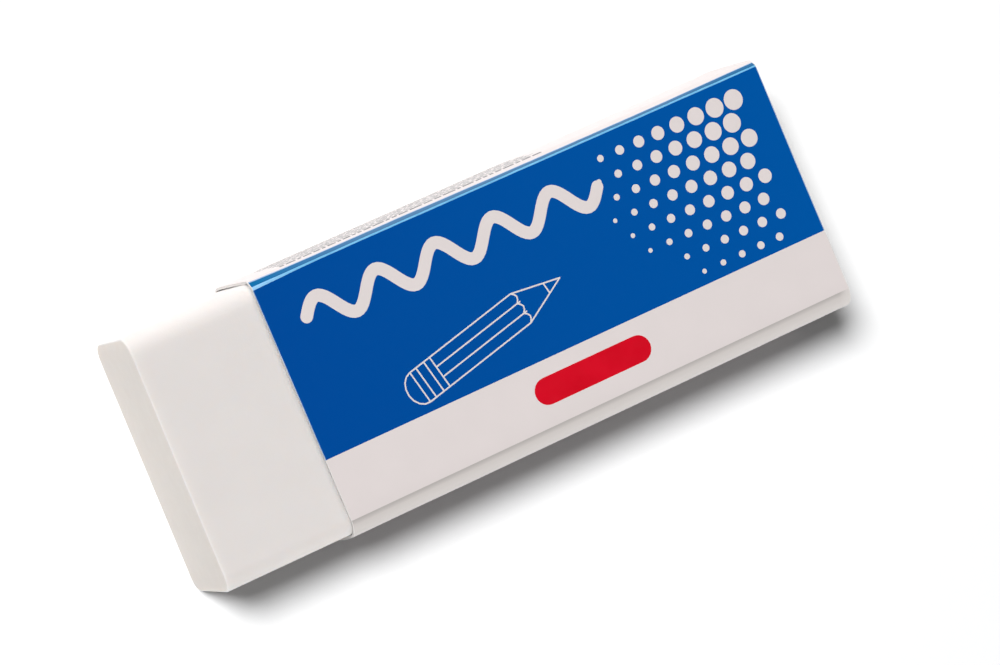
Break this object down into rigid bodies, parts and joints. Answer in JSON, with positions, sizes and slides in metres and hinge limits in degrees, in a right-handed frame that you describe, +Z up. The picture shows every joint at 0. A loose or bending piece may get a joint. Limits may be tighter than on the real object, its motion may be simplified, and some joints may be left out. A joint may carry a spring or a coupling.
{
  "type": "sleeved rubber eraser",
  "caption": "White vinyl block eraser with softly rounded long edges, in a printed card sleeve that slides along it and leaves one end bare.",
  "frame": {"origin": "on the sleeve's flat back panel, under the middle of the block", "axes": "+X along the block from its bare end to its covered end, +Y across it away from the glued lap, +Z up through the printed front panel"},
  "size_m": [0.065, 0.025, 0.0127],
  "materials": {
    "vinyl": "smooth matt white vinyl",
    "printed_card": "gloss-coated card printed blue, white and red"
  },
  "bodies": {
    "block": {"eraser_block": "vinyl"},
    "sleeve": {"card_sleeve": "printed_card"}
  },
  "joints": [
    {"name": "sleeve_slide", "type": "slide", "parent": "block", "child": "sleeve", "axis": [1, 0, 0], "range_m": [-0.065, 0.0527]}
  ]
}
